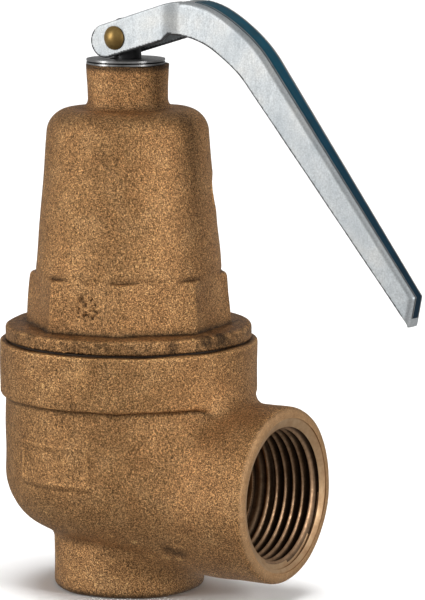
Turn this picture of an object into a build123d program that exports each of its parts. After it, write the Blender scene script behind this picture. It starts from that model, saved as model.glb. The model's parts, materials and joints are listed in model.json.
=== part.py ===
from build123d import *
import os
from math import cos, degrees, radians, sin, tan

# Angle-pattern pressure relief valve, 3/4 in inlet and 1 in outlet, all sizes in millimetres.
# Origin: centre of the inlet face. +Z runs up the valve axis, +X out of the outlet.

# Pipe connections (tapped at the minor diameter of their pipe threads)
INLET_BORE_R = 11.835
INLET_TAP_LENGTH = 15.5
OUTLET_BORE_R = 14.845
OUTLET_TAP_LENGTH = 17.5
TAP_CHAMFER = 1.4

# Body casting
HUB_R = 17.05
HUB_EDGE = 1.3
BOWL_R = 14.9
BOWL_CENTRE_Z = 27.6
BOWL_FOOT_DEG = 63.0
BODY_R = 27.95
BAND_R = 29.15
BAND_BOTTOM_Z = 44.4
BAND_TOP_Z = 56.85
BAND_EDGE = 0.6
BAND_STEP = 0.9
OUTLET_Z = 24.87
OUTLET_FACE_X = 41.75
OUTLET_BOSS_R = 19.85
OUTLET_BOSS_EDGE = 0.8
OUTLET_PASSAGE_R = 13.2
CHAMBER_R = 22.8
CHAMBER_FLOOR_Z = 20.0
LEDGE_Z = 47.0
SPIGOT_BORE_R = 25.3
NOZZLE_SPIGOT_R = 10.9
NOZZLE_ROOT_R = 14.9
NOZZLE_ROOT_H = 2.6
NOZZLE_CONE_H = 2.4
NOZZLE_CLEARANCE = 0.4
NOZZLE_R = 11.2
NOZZLE_LIP = (1.6, 2.0)
THROAT_R = 8.6
SEAT_Z = 34.0
PAD_FROM_DEG = -115.35
PAD_TO_DEG = -75.15
PAD_BOTTOM_Z = 26.9
PAD_TOP_Z = 36.7
PAD_PROUD = 0.45
PAD_BORDER = 1.1
PAD_BLOCK_DEPTH = 12.0

# Bonnet casting
JOINT_Z = 57.15
GASKET_R = 27.3
FLANGE_R = 27.8
FLANGE_TOP_Z = 60.5
FLANGE_RISE = 1.4
FLANGE_EDGE = 0.8
FLANGE_LOWER_EDGE = 0.3
OCTAGON_R = 23.6
OCTAGON_FLATS = 8
OCTAGON_HEIGHT = 18.0
OCTAGON_TURN_DEG = 28.85
OCTAGON_DRAFT_DEG = 4.5
OCTAGON_CORNER_R = 22.7
OCTAGON_CORNER_Z = 71.4
OCTAGON_TOP_SLOPE_DEG = 34.0
BELL_ROOT_R = 19.6
BELL_FOOT = 1.5
BELL_BOTTOM_R = 20.95
BELL_BOTTOM_Z = 73.4
BELL_TOP_R = 17.7
BELL_TOP_Z = 109.1
BELL_SHOULDER = 5.0
NECK_R = 9.05
NECK_TOP_R = 9.25
NECK_TOP_Z = 119.05
NECK_FILLET = 1.8
NECK_EDGE = 0.3
SPIGOT_BOTTOM_Z = 50.4
SPIGOT_INNER_R = 21.5
SPIGOT_INNER_TOP_Z = 55.15
SPRING_ROOM_R = 17.6
SPRING_ROOM_Z = 60.15
SPRING_ROOM_WAIST_R = 16.8
SPRING_ROOM_WAIST_Z = 66.5
SPRING_ROOM_TOP_R = 15.35
SPRING_CEILING_Z = 105.6
SPRING_CEILING_FILLET = 2.0
VENT_R = 4.0
VENT_Z = 90.0
VENT_DEG = 30.35

# Running clearances
RUN = 0.06
THREAD_GAP = 0.05
STACK_GAP = 0.02
RIM_GAP = 0.3

# Disc stack on the nozzle
SEAT_DISC_R = 10.6
SEAT_DISC_H = 2.4
SEAT_DISC_BORE_R = 2.0
DISC_R = 12.8
DISC_CUP_H = 6.0
DISC_NECK_R = 6.4
DISC_CUP_LIFT = 0.4
DISC_SHOULDER = 1.5
FLEX_STEP = 3.2
DIAPHRAGM_H = 1.2
DIAPHRAGM_HUB_Z = 48.7
DIAPHRAGM_STEP_GAP = (1.2, 1.6)
DIAPHRAGM_STEP_LEAN = 0.5
PLATE_R = 14.5
HOLDER_PLATE_R = 13.5
HOLDER_PLATE_H = 2.0
SLIP_RING_R = 19.8
STUD_R = 6.0
STUD_TOP_Z = 56.2
STUD_BORE_R = 4.8
NUT_ACROSS_FLATS = 14.5
NUT_TOP_Z = 58.0
DISC_SCREW_R = 1.75
DISC_SCREW_DEPTH = 4.5
DISC_SCREW_HOLE_SPARE = 0.5
DISC_SCREW_HEAD_R = 3.2
DISC_SCREW_HEAD_H = 2.1
DISC_SCREW_HEAD_EDGE = 1.0
DISC_SCREW_SLOT_W = 0.9
DISC_SCREW_SLOT_DEPTH = 0.7
RETAINER_R = 6.2
RETAINER_H = 0.9

# Spring and its buttons
BUTTON_R = 14.6
LOWER_BUTTON_Z = 52.0
LOWER_BUTTON_BORE_R = 8.7
BUTTON_H = 2.2
BUTTON_RIM_H = 1.6
BUTTON_SPIGOT_H = 2.0
SPRING_FIT = 0.4
WIRE_R = 2.0
COIL_R = 11.6
COIL_COUNT = 7
UPPER_BUTTON_Z = 99.0

# Stem, adjusting screw and cap
STEM_R = 3.08
STEM_BOTTOM_Z = 52.8
STEM_TOP_Z = 129.2
STEM_EDGES = (0.4, 1.5)
COLLAR_R = 4.6
COLLAR_H = 1.6
COLLAR_GROOVE = 0.6
COLLAR_DROP = 0.3
SCREW_R = 6.5
SCREW_BOTTOM_Z = 104.0
SCREW_TOP_Z = 118.4
SCREW_SLOT_W = 1.6
SCREW_SLOT_DEPTH = 1.5
CAP_R = 8.84
CAP_BORE_R = 3.65
CAP_OFFSET = (-0.35, -0.22)
CAP_DISH_R = 7.24
CAP_DISH_RIM = 0.4
CAP_WASHER_H = 0.40
CAP_GAP = 0.33
CAP_DISC_H = 0.42

# Lever, drawn in the XZ plane and then turned about the stem; outline points are (x, height above the pin)
LEVER_HEADING_DEG = -2.65
PIVOT_Z = 125.1
PIN_R = 1.75
PIN_HEAD_R = 2.65
PIN_HEAD_H = 1.7
PIN_HEAD_DOME_R = 3.2
PIN_WASHER_R = 2.9
PIN_WASHER_H = 0.8
PIN_END = 0.6
SHEET = 1.2
WEB_DROP = (0.72, 0.70)
FORK_DEG = 17.1
HEEL_BACK = 2.98
HEEL_R = 3.75
KNEE_TOP = [(12.6, 7.9), (19.0, 8.75), (26.0, 7.0), (34.0, 2.1), (39.8, -3.7)]
WEB_END = (76.8, -52.3)
TIP = (75.4, -59.4)
FLANGE_END = (74.9, -57.8)
KNEE_UNDER = [(34.0, -8.4), (26.5, -2.2), (20.5, 0.5), (14.4, 1.4)]
RELIEF_NOTCH = (12.8, -0.1)
WEB_START_X = 17.5
FORK_HALF_WIDTH = 5.0
JOGGLE_X = (12.4, 17.4)
CHANNEL_HALF_WIDTHS = (4.05, 2.4)
LEVER_REACH_X = 77.4

# Half length of the cutters that run right through, and how far a cutter or a join overlaps
THROUGH = 30.0
OVERLAP = 1.0


def half_section(points, radii):
    """Closed face in the XZ plane from corner points (radius, height) and one fillet radius per corner."""
    outline = FilletPolyline(*[(x, 0, z) for x, z in points], radius=radii, close=True)
    return make_face(outline)


def turned(points, radii=0.0):
    """Solid of revolution about Z."""
    if not isinstance(radii, (list, tuple)):
        radii = [radii] * len(points)
    return revolve(half_section(points, radii), Axis.Z)


def rod(radius, bottom, top):
    """Cylinder on the valve axis between two heights."""
    return Pos(0, 0, bottom) * Cylinder(radius, top - bottom, align=(Align.CENTER, Align.CENTER, Align.MIN))


def ring(outer, inner, bottom, top):
    """Tube on the valve axis between two heights."""
    return rod(outer, bottom, top) - rod(inner, bottom - OVERLAP, top + OVERLAP)


def crossbar(radius, y_from, y_to, x, z):
    """Cylinder along Y."""
    length = y_to - y_from
    return Pos(x, (y_from + y_to) / 2, z) * Rot(90, 0, 0) * Cylinder(radius, length)


def along_x(radius, x_from, x_to, z):
    """Cylinder along X."""
    return Pos((x_from + x_to) / 2, 0, z) * Rot(0, 90, 0) * Cylinder(radius, x_to - x_from)


def body_shell():
    """Outside of the body: inlet hub, round bowl, straight wall and the band that takes the bonnet."""
    foot = radians(BOWL_FOOT_DEG)
    centre_r = BODY_R - BOWL_R
    low = (centre_r + BOWL_R * cos(foot), BOWL_CENTRE_Z - BOWL_R * sin(foot))
    mid = (centre_r + BOWL_R * cos(foot / 2), BOWL_CENTRE_Z - BOWL_R * sin(foot / 2))
    hub_top = low[1] - (low[0] - HUB_R) / tan(foot)
    lower = Polyline(
        (0, 0, 0), (HUB_R - HUB_EDGE, 0, 0), (HUB_R, 0, HUB_EDGE), (HUB_R, 0, hub_top), (low[0], 0, low[1])
    )
    bowl = ThreePointArc((low[0], 0, low[1]), (mid[0], 0, mid[1]), (BODY_R, 0, BOWL_CENTRE_Z))
    upper = Polyline(
        (BODY_R, 0, BOWL_CENTRE_Z),
        (BODY_R, 0, BAND_BOTTOM_Z),
        (BAND_R, 0, BAND_BOTTOM_Z + BAND_STEP),
        (BAND_R, 0, BAND_TOP_Z - BAND_EDGE),
        (BAND_R - BAND_EDGE, 0, BAND_TOP_Z),
        (0, 0, BAND_TOP_Z),
        (0, 0, 0),
    )
    return revolve(make_face(lower + bowl + upper), Axis.Z)


def cast_pad():
    """Blank raised panel on the body's front, with a raised border."""
    mid = radians((PAD_FROM_DEG + PAD_TO_DEG) / 2)
    half_width = BODY_R * sin(radians(PAD_TO_DEG - PAD_FROM_DEG) / 2)
    height = PAD_TOP_Z - PAD_BOTTOM_Z
    block = Box(PAD_BLOCK_DEPTH, 2 * half_width, height)
    window = Box(PAD_BLOCK_DEPTH, 2 * (half_width - PAD_BORDER), height - 2 * PAD_BORDER)
    place = Pos(BODY_R * cos(mid), BODY_R * sin(mid), (PAD_TOP_Z + PAD_BOTTOM_Z) / 2) * Rot(0, 0, degrees(mid))
    outer = ring(BODY_R + PAD_PROUD, BODY_R - OVERLAP, PAD_BOTTOM_Z, PAD_TOP_Z)
    inner = ring(BODY_R + PAD_PROUD / 2, BODY_R - OVERLAP, PAD_BOTTOM_Z, PAD_TOP_Z)
    return (outer & (place * (block - window))) + (inner & (place * block))


def body_cavity():
    """Inside of the body: inlet bore, hole for the nozzle, chamber round the nozzle and outlet passage."""
    inlet = turned(
        [
            (0, -OVERLAP),
            (INLET_BORE_R, -OVERLAP),
            (INLET_BORE_R, INLET_TAP_LENGTH),
            (NOZZLE_SPIGOT_R + THREAD_GAP, INLET_TAP_LENGTH),
            (NOZZLE_SPIGOT_R + THREAD_GAP, CHAMBER_FLOOR_Z + OVERLAP),
            (0, CHAMBER_FLOOR_Z + OVERLAP),
        ]
    )
    chamber = rod(CHAMBER_R, CHAMBER_FLOOR_Z, BAND_TOP_Z + OVERLAP)
    passage = along_x(OUTLET_PASSAGE_R, NOZZLE_ROOT_R + NOZZLE_CLEARANCE, OUTLET_FACE_X, OUTLET_Z)
    tapped = along_x(OUTLET_BORE_R, OUTLET_FACE_X - OUTLET_TAP_LENGTH, OUTLET_FACE_X + OVERLAP, OUTLET_Z)
    reach = TAP_CHAMFER + OVERLAP
    mouth = Cone(OUTLET_BORE_R - OVERLAP, OUTLET_BORE_R + TAP_CHAMFER + reach, 2 * reach)
    flare = Pos(OUTLET_FACE_X, 0, OUTLET_Z) * Rot(0, 90, 0) * mouth
    spigot_bore = rod(SPIGOT_BORE_R, LEDGE_Z, BAND_TOP_Z + OVERLAP)
    return chamber + inlet + passage + tapped + flare + spigot_bore


def body_casting():
    """Bronze body in one piece: inlet hub, bowl, band and outlet boss round the cavity."""
    boss = along_x(OUTLET_BOSS_R, 0, OUTLET_FACE_X, OUTLET_Z)
    boss = chamfer(boss.faces().sort_by(Axis.X)[-1].edges(), OUTLET_BOSS_EDGE)
    outside = body_shell() + boss + cast_pad()
    return outside - body_cavity()


def seat_nozzle():
    """Nozzle screwed into the chamber floor, with the valve seat as its raised lip."""
    foot = CHAMBER_FLOOR_Z + THREAD_GAP
    cone = foot + NOZZLE_ROOT_H
    lip_width, lip_height = NOZZLE_LIP
    return turned(
        [
            (THROAT_R, INLET_TAP_LENGTH),
            (NOZZLE_SPIGOT_R, INLET_TAP_LENGTH),
            (NOZZLE_SPIGOT_R, foot),
            (NOZZLE_ROOT_R, foot),
            (NOZZLE_ROOT_R, cone),
            (NOZZLE_R, cone + NOZZLE_CONE_H),
            (NOZZLE_R, SEAT_Z - lip_height),
            (NOZZLE_R - lip_width, SEAT_Z),
            (THROAT_R, SEAT_Z),
        ]
    )


def octagon_block():
    """Drafted octagonal wrench section of the bonnet with its corners sloped off at the top."""
    base_z = FLANGE_TOP_Z - OVERLAP
    flats = RegularPolygon(OCTAGON_R, OCTAGON_FLATS, rotation=OCTAGON_TURN_DEG)
    block = extrude(Pos(0, 0, base_z) * flats, OCTAGON_HEIGHT, taper=OCTAGON_DRAFT_DEG)
    slope = tan(radians(OCTAGON_TOP_SLOPE_DEG))
    peak = OCTAGON_CORNER_Z + OCTAGON_CORNER_R * slope
    foot_z = base_z - OVERLAP
    roof = turned([(0, foot_z), (THROUGH, foot_z), (THROUGH, peak - THROUGH * slope), (0, peak)])
    return block & roof


def bell_outside():
    """Outside of the spring housing: flange, tapered bell, rounded shoulder and neck."""
    bell = turned(
        [
            (0, FLANGE_TOP_Z),
            (BELL_ROOT_R, FLANGE_TOP_Z),
            (BELL_ROOT_R, BELL_BOTTOM_Z - BELL_FOOT),
            (BELL_BOTTOM_R, BELL_BOTTOM_Z),
            (BELL_TOP_R, BELL_TOP_Z),
            (NECK_R, BELL_TOP_Z),
            (NECK_TOP_R, NECK_TOP_Z),
            (0, NECK_TOP_Z),
        ],
        [0, 0, 0, 0, BELL_SHOULDER, NECK_FILLET, NECK_EDGE, 0],
    )
    flange = turned(
        [
            (0, JOINT_Z),
            (FLANGE_R, JOINT_Z),
            (FLANGE_R, FLANGE_TOP_Z),
            (OCTAGON_CORNER_R, FLANGE_TOP_Z + FLANGE_RISE),
            (0, FLANGE_TOP_Z + FLANGE_RISE),
        ],
        [0, FLANGE_LOWER_EDGE, FLANGE_EDGE, 0, 0],
    )
    return bell + flange


def bonnet_casting():
    """Bronze spring housing, its spigot screwed into the body's band."""
    spigot = rod(SPIGOT_BORE_R - THREAD_GAP, SPIGOT_BOTTOM_Z, JOINT_Z + OVERLAP)
    outside = bell_outside() + octagon_block() + spigot
    inside = turned(
        [
            (0, SPIGOT_BOTTOM_Z - OVERLAP),
            (SPIGOT_INNER_R, SPIGOT_BOTTOM_Z - OVERLAP),
            (SPIGOT_INNER_R, SPIGOT_INNER_TOP_Z),
            (SPRING_ROOM_R, SPRING_ROOM_Z),
            (SPRING_ROOM_WAIST_R, SPRING_ROOM_WAIST_Z),
            (SPRING_ROOM_TOP_R, SPRING_CEILING_Z),
            (SCREW_R + THREAD_GAP, SPRING_CEILING_Z),
            (SCREW_R + THREAD_GAP, NECK_TOP_Z + OVERLAP),
            (0, NECK_TOP_Z + OVERLAP),
        ],
        [0, 0, 0, 0, 0, SPRING_CEILING_FILLET, 0, 0, 0],
    )
    vent = Rot(0, 0, VENT_DEG) * along_x(VENT_R, SPRING_ROOM_TOP_R / 2, THROUGH, VENT_Z)
    return outside - inside - vent


def body_gasket():
    """Thin fibre gasket between the band and the bonnet flange."""
    return ring(GASKET_R, SPIGOT_BORE_R + THREAD_GAP, BAND_TOP_Z, JOINT_Z)


def slip_ring():
    """Brass ring that presses the diaphragm's rim without turning it."""
    return ring(SPIGOT_BORE_R - RIM_GAP, SLIP_RING_R, LEDGE_Z + DIAPHRAGM_H, SPIGOT_BOTTOM_Z)


def diaphragm():
    """Moulded rubber diaphragm: clamped rim, one step up and a flat hub on the disc holder."""
    rim_r = SPIGOT_BORE_R - RIM_GAP
    bore_r = STUD_R + THREAD_GAP
    inner_r = PLATE_R + DIAPHRAGM_STEP_GAP[0]
    outer_r = SLIP_RING_R - DIAPHRAGM_STEP_GAP[1]
    return turned(
        [
            (bore_r, DIAPHRAGM_HUB_Z),
            (inner_r - DIAPHRAGM_STEP_LEAN, DIAPHRAGM_HUB_Z),
            (outer_r - DIAPHRAGM_STEP_LEAN, LEDGE_Z),
            (rim_r, LEDGE_Z),
            (rim_r, LEDGE_Z + DIAPHRAGM_H),
            (outer_r, LEDGE_Z + DIAPHRAGM_H),
            (inner_r, DIAPHRAGM_HUB_Z + DIAPHRAGM_H),
            (bore_r, DIAPHRAGM_HUB_Z + DIAPHRAGM_H),
        ]
    )


def disc_holder():
    """Brass disc holder: cup for the seat disc below, plate under the diaphragm, hollow threaded stud above."""
    cup_bottom = SEAT_Z + DISC_CUP_LIFT
    neck_bottom = cup_bottom + DISC_CUP_H + DISC_SHOULDER
    plate_top = DIAPHRAGM_HUB_Z - STACK_GAP
    pocket_top = SEAT_Z + SEAT_DISC_H + STACK_GAP
    solid = turned(
        [
            (0, cup_bottom),
            (DISC_R, cup_bottom),
            (DISC_R, cup_bottom + DISC_CUP_H),
            (DISC_NECK_R, neck_bottom),
            (DISC_NECK_R, plate_top - FLEX_STEP),
            (HOLDER_PLATE_R, plate_top - HOLDER_PLATE_H),
            (HOLDER_PLATE_R, plate_top),
            (STUD_R, plate_top),
            (STUD_R, STUD_TOP_Z),
            (0, STUD_TOP_Z),
        ]
    )
    hole_top = pocket_top + DISC_SCREW_DEPTH + DISC_SCREW_HOLE_SPARE
    pocket = rod(SEAT_DISC_R + THREAD_GAP, cup_bottom - OVERLAP, pocket_top)
    screw_hole = rod(DISC_SCREW_R + THREAD_GAP, cup_bottom - OVERLAP, hole_top)
    stem_bore = rod(STUD_BORE_R, STEM_BOTTOM_Z - OVERLAP, STUD_TOP_Z + OVERLAP)
    return solid - pocket - screw_hole - stem_bore


def seat_disc():
    """Soft rubber disc that closes on the nozzle."""
    return ring(SEAT_DISC_R, SEAT_DISC_BORE_R, SEAT_Z, SEAT_Z + SEAT_DISC_H)


def disc_retainer():
    """Washer that holds the seat disc in its cup, inside the nozzle throat."""
    return ring(RETAINER_R, SEAT_DISC_BORE_R, SEAT_Z - RETAINER_H, SEAT_Z)


def disc_screw():
    """Round-head screw through the retainer and the seat disc into the holder."""
    head_top = SEAT_Z - RETAINER_H
    head_bottom = head_top - DISC_SCREW_HEAD_H
    head = turned(
        [
            (0, head_bottom),
            (DISC_SCREW_HEAD_R - DISC_SCREW_HEAD_EDGE, head_bottom),
            (DISC_SCREW_HEAD_R, head_bottom + DISC_SCREW_HEAD_EDGE),
            (DISC_SCREW_HEAD_R, head_top),
            (0, head_top),
        ]
    )
    slot = Pos(0, 0, head_bottom) * Box(THROUGH, DISC_SCREW_SLOT_W, 2 * DISC_SCREW_SLOT_DEPTH)
    shank = rod(DISC_SCREW_R, head_bottom + DISC_SCREW_HEAD_EDGE, SEAT_Z + SEAT_DISC_H + DISC_SCREW_DEPTH)
    return head + shank - slot


def diaphragm_plate():
    """Plate above the diaphragm, clamped on the stud."""
    bottom = DIAPHRAGM_HUB_Z + DIAPHRAGM_H + STACK_GAP
    return ring(PLATE_R, STUD_R + THREAD_GAP, bottom, LOWER_BUTTON_Z - STACK_GAP)


def clamp_nut():
    """Cap nut on the stud; its top lip catches the stem's collar and lifts the disc stack."""
    bottom = LOWER_BUTTON_Z
    hexagon = RegularPolygon(NUT_ACROSS_FLATS / 2, 6, major_radius=False)
    block = extrude(Pos(0, 0, bottom) * hexagon, NUT_TOP_Z - bottom)
    thread = rod(STUD_R + THREAD_GAP, bottom - OVERLAP, STUD_TOP_Z + 2 * THREAD_GAP)
    hole = rod(STEM_R + RUN, bottom - OVERLAP, NUT_TOP_Z + OVERLAP)
    return block - thread - hole


def lower_button():
    """Cupped spring washer round the clamp nut."""
    bottom = LOWER_BUTTON_Z
    plate = ring(BUTTON_R, LOWER_BUTTON_BORE_R, bottom, bottom + BUTTON_H)
    rim = ring(BUTTON_R, COIL_R + WIRE_R + SPRING_FIT / 2, bottom, bottom + BUTTON_H + BUTTON_RIM_H)
    return plate + rim


def upper_button():
    """Cupped spring washer under the adjusting screw."""
    top = SCREW_BOTTOM_Z
    bottom = UPPER_BUTTON_Z
    rim_r = COIL_R + WIRE_R + SPRING_FIT
    spigot_r = COIL_R - WIRE_R - SPRING_FIT
    bore_r = STEM_R + SPRING_FIT
    return turned(
        [
            (bore_r, bottom - BUTTON_SPIGOT_H),
            (spigot_r, bottom - BUTTON_SPIGOT_H),
            (spigot_r, bottom),
            (rim_r, bottom),
            (rim_r, bottom + BUTTON_H),
            (SCREW_R, top),
            (bore_r, top),
        ]
    )


def spring():
    """Compression spring between the two buttons, ends ground flat."""
    bottom = LOWER_BUTTON_Z + BUTTON_H
    height = UPPER_BUTTON_Z - bottom
    pitch = height / COIL_COUNT
    path = Helix(pitch=pitch, height=height, radius=COIL_R)
    section = Plane(path @ 0, z_dir=path % 0) * Circle(WIRE_R)
    coil = sweep(section, path=path, is_frenet=True)
    return (Pos(0, 0, bottom) * coil) & rod(COIL_R + 2 * WIRE_R, bottom + STACK_GAP, UPPER_BUTTON_Z - STACK_GAP)


def adjusting_screw():
    """Hollow set-pressure screw in the neck, slotted at the top, bored for the stem."""
    sleeve = ring(SCREW_R, STEM_R + RUN, SCREW_BOTTOM_Z + STACK_GAP, SCREW_TOP_Z)
    slot = Pos(0, 0, SCREW_TOP_Z) * Box(THROUGH, SCREW_SLOT_W, 2 * SCREW_SLOT_DEPTH)
    return sleeve - slot


def cap_washer():
    """Plated washer on the neck's rim, loose on the stem and lying a little off centre."""
    return Pos(*CAP_OFFSET) * ring(CAP_R, CAP_BORE_R, NECK_TOP_Z, NECK_TOP_Z + CAP_WASHER_H)


def cap_disc():
    """Plated bearing disc that the lever's heel presses on, dished at its middle."""
    bottom = NECK_TOP_Z + CAP_WASHER_H
    top = bottom + CAP_GAP + CAP_DISC_H
    disc = turned(
        [
            (CAP_BORE_R, bottom),
            (CAP_DISH_R, bottom),
            (CAP_DISH_R + CAP_DISH_RIM, bottom + CAP_GAP),
            (CAP_R, bottom + CAP_GAP),
            (CAP_R, top),
            (CAP_BORE_R, top),
        ]
    )
    return Pos(*CAP_OFFSET) * disc


def on_heading(shape):
    """Turns a lever part, or a cutter for one, about the valve axis to the lever's heading."""
    return Rot(0, 0, LEVER_HEADING_DEG) * shape


def stem():
    """Steel lifting stem, domed at the top and cross-drilled for the lever pin."""
    shaft = turned(
        [(0, STEM_BOTTOM_Z), (STEM_R, STEM_BOTTOM_Z), (STEM_R, STEM_TOP_Z), (0, STEM_TOP_Z)],
        [0, *STEM_EDGES, 0],
    )
    collar_top = STUD_TOP_Z - COLLAR_DROP
    groove = ring(STEM_R + OVERLAP, STEM_R - COLLAR_GROOVE, collar_top - COLLAR_H, collar_top)
    return shaft - groove - on_heading(crossbar(PIN_R + RUN, -THROUGH, THROUGH, 0, PIVOT_Z))


def stem_collar():
    """Lifting collar snapped into the stem's groove."""
    bottom = STUD_TOP_Z - COLLAR_H - COLLAR_DROP + STACK_GAP
    return ring(COLLAR_R, STEM_R - COLLAR_GROOVE + STACK_GAP, bottom, bottom + COLLAR_H - 2 * STACK_GAP)


def lever_point(point):
    """Outline point of the lever, given from the pin, as a place in the XZ plane."""
    return (point[0], 0, PIVOT_Z + point[1])


def heel_centre():
    """Centre of the fork's round end, behind the pin along the fork."""
    return (-HEEL_BACK * cos(radians(FORK_DEG)), -HEEL_BACK * sin(radians(FORK_DEG)))


def lever_side():
    """Side view of the lever: round heel, straight fork, curved knee and long handle with a bevelled tip."""
    cx, cz = heel_centre()
    lean = radians(FORK_DEG)
    heel_top = (cx - HEEL_R * sin(lean), cz + HEEL_R * cos(lean))
    heel_back = (cx - HEEL_R * cos(lean), cz - HEEL_R * sin(lean))
    heel_foot = (cx + HEEL_R * sin(lean), cz - HEEL_R * cos(lean))
    along_fork = (cos(lean), 0, sin(lean))
    handle = Vector(*lever_point(WEB_END)) - Vector(*lever_point(KNEE_TOP[-1]))
    under = Vector(*lever_point(KNEE_UNDER[0])) - Vector(*lever_point(FLANGE_END))
    edges = [
        Line(lever_point(heel_top), lever_point(KNEE_TOP[0])),
        Spline(*[lever_point(p) for p in KNEE_TOP], tangents=[along_fork, handle.normalized()]),
        Polyline(*[lever_point(p) for p in (KNEE_TOP[-1], WEB_END, TIP, FLANGE_END, KNEE_UNDER[0])]),
        Spline(*[lever_point(p) for p in KNEE_UNDER], tangents=[under.normalized(), (-1, 0, 0.1)]),
        Polyline(*[lever_point(p) for p in (KNEE_UNDER[-1], RELIEF_NOTCH, heel_foot)]),
        ThreePointArc(lever_point(heel_foot), lever_point(heel_back), lever_point(heel_top)),
    ]
    return make_face(Wire([e for line in edges for e in line.edges()]))


def lever_plan(inset):
    """Top view of the lever, its half widths reduced by the inset, as a tall block."""
    fork = FORK_HALF_WIDTH - inset
    near, far = (half - inset for half in CHANNEL_HALF_WIDTHS)
    half = [(-THROUGH, fork), (JOGGLE_X[0], fork), (JOGGLE_X[1], near), (LEVER_REACH_X, far)]
    outline = half + [(x, -y) for x, y in reversed(half)]
    return extrude(make_face(Polyline(*outline, close=True)), PIVOT_Z + THROUGH)


def lever():
    """Stamped sheet lever: two fork cheeks that close into a channel, open below, for the handle."""
    side = lever_side()
    solid = extrude(side, FORK_HALF_WIDTH + OVERLAP, both=True) & lever_plan(0)
    drop = Pos(-WEB_DROP[0] * SHEET, 0, -WEB_DROP[1] * SHEET)
    under_web = drop * extrude(side, FORK_HALF_WIDTH + OVERLAP, both=True)
    fork_slot = Pos(WEB_START_X - THROUGH, 0, PIVOT_Z) * Box(2 * THROUGH, 4 * FORK_HALF_WIDTH, 2 * THROUGH)
    inside = (under_web + fork_slot) & lever_plan(SHEET)
    pin_hole = crossbar(PIN_R + THREAD_GAP, -THROUGH, THROUGH, 0, PIVOT_Z)
    return on_heading(solid - inside - pin_hole)


def lever_pin():
    """Brass pin through both cheeks and the stem, with a domed head in front."""
    face_y = -FORK_HALF_WIDTH - STACK_GAP
    end_y = FORK_HALF_WIDTH + PIN_WASHER_H + PIN_END
    dome = Pos(0, face_y - PIN_HEAD_H + PIN_HEAD_DOME_R, PIVOT_Z) * Sphere(PIN_HEAD_DOME_R)
    head = crossbar(PIN_HEAD_R, face_y - PIN_HEAD_H, face_y, 0, PIVOT_Z) & dome
    return on_heading(head + crossbar(PIN_R, face_y - PIN_HEAD_H / 2, end_y, 0, PIVOT_Z))


def pin_washer():
    """Steel washer that the pin's far end is peened over."""
    front = FORK_HALF_WIDTH + STACK_GAP
    disc = crossbar(PIN_WASHER_R, front, front + PIN_WASHER_H, 0, PIVOT_Z)
    return on_heading(disc - crossbar(PIN_R + THREAD_GAP, -THROUGH, THROUGH, 0, PIVOT_Z))


SUB_PARTS = [
    body_casting,
    seat_nozzle,
    bonnet_casting,
    body_gasket,
    slip_ring,
    diaphragm,
    disc_holder,
    seat_disc,
    disc_retainer,
    disc_screw,
    diaphragm_plate,
    clamp_nut,
    lower_button,
    spring,
    upper_button,
    adjusting_screw,
    cap_washer,
    cap_disc,
    stem,
    stem_collar,
    lever,
    lever_pin,
    pin_washer,
]

os.makedirs("parts", exist_ok=True)
for sub_part in SUB_PARTS:
    export_step(sub_part(), f"parts/{sub_part.__name__}.step")
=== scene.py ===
import json
from math import cos, pi, radians, sin, tan

import bpy
import numpy as np
from mathutils import Matrix, Vector


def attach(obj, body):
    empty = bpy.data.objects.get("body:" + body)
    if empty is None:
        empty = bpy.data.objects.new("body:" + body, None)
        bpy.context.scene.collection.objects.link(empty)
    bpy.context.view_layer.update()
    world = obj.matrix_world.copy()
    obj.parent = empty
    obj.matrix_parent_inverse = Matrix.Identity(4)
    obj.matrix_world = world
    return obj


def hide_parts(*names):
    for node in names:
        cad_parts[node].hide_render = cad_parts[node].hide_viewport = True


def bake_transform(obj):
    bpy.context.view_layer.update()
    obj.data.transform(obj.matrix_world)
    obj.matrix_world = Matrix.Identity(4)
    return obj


# Looks of the angle-pattern relief valve. Shapes are worked out in millimetres and set down in metres.
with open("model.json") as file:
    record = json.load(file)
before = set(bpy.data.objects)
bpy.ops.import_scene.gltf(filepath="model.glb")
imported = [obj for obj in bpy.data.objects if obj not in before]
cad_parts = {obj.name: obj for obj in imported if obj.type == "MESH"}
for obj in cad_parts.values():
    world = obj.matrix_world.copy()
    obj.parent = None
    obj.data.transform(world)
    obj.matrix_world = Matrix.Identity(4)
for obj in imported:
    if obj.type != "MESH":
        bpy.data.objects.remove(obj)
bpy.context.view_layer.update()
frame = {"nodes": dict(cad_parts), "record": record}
nodes = frame["nodes"]
MM = 0.001

# Body casting
HUB_R = 17.05
HUB_EDGE = 1.3
HUB_FILLET = 1.8
BOWL_R = 14.9
BOWL_CENTRE_Z = 27.6
BODY_R = 27.95
BAND_R = 29.15
BAND_BOTTOM_Z = 44.6
BAND_TOP_Z = 56.85
BAND_EDGE = 0.5
OUTLET_Z = 24.87
OUTLET_X = 41.75
BOSS_R = 19.85
BOSS_EDGE = 1.5
BOSS_FILLET = 4.5
MOUTH_R = 17.4
MOUTH_INNER_R = 15.1
MOUTH_STEP = 0.22
MOUTH_DEPTH = 1.3
PASSAGE_R = 13.2
PASSAGE_START_X = 15.3
CHAMBER_R = 22.8
CHAMBER_FLOOR_Z = 20.0
LEDGE_Z = 47.0
SPIGOT_BORE_R = 25.3
NOZZLE_HOLE_R = 10.95
PAD_MID_DEG = -95.25
PAD_HALF_ARC = 9.8
PAD_Z = (26.9, 36.7)
PAD_PROUD = 0.45
PAD_BORDER = 1.0
PAD_EDGE = 0.35
BODY_MESH_STEP = 0.45

# Pipe threads, (pitch, minor radius at the mouth, length cut)
OUTLET_THREAD = (2.2087, 14.845, 17.5)
INLET_THREAD = (1.8143, 11.835, 15.5)
THREAD_DEPTH = 0.78
THREAD_TAPER = 1 / 32

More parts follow.
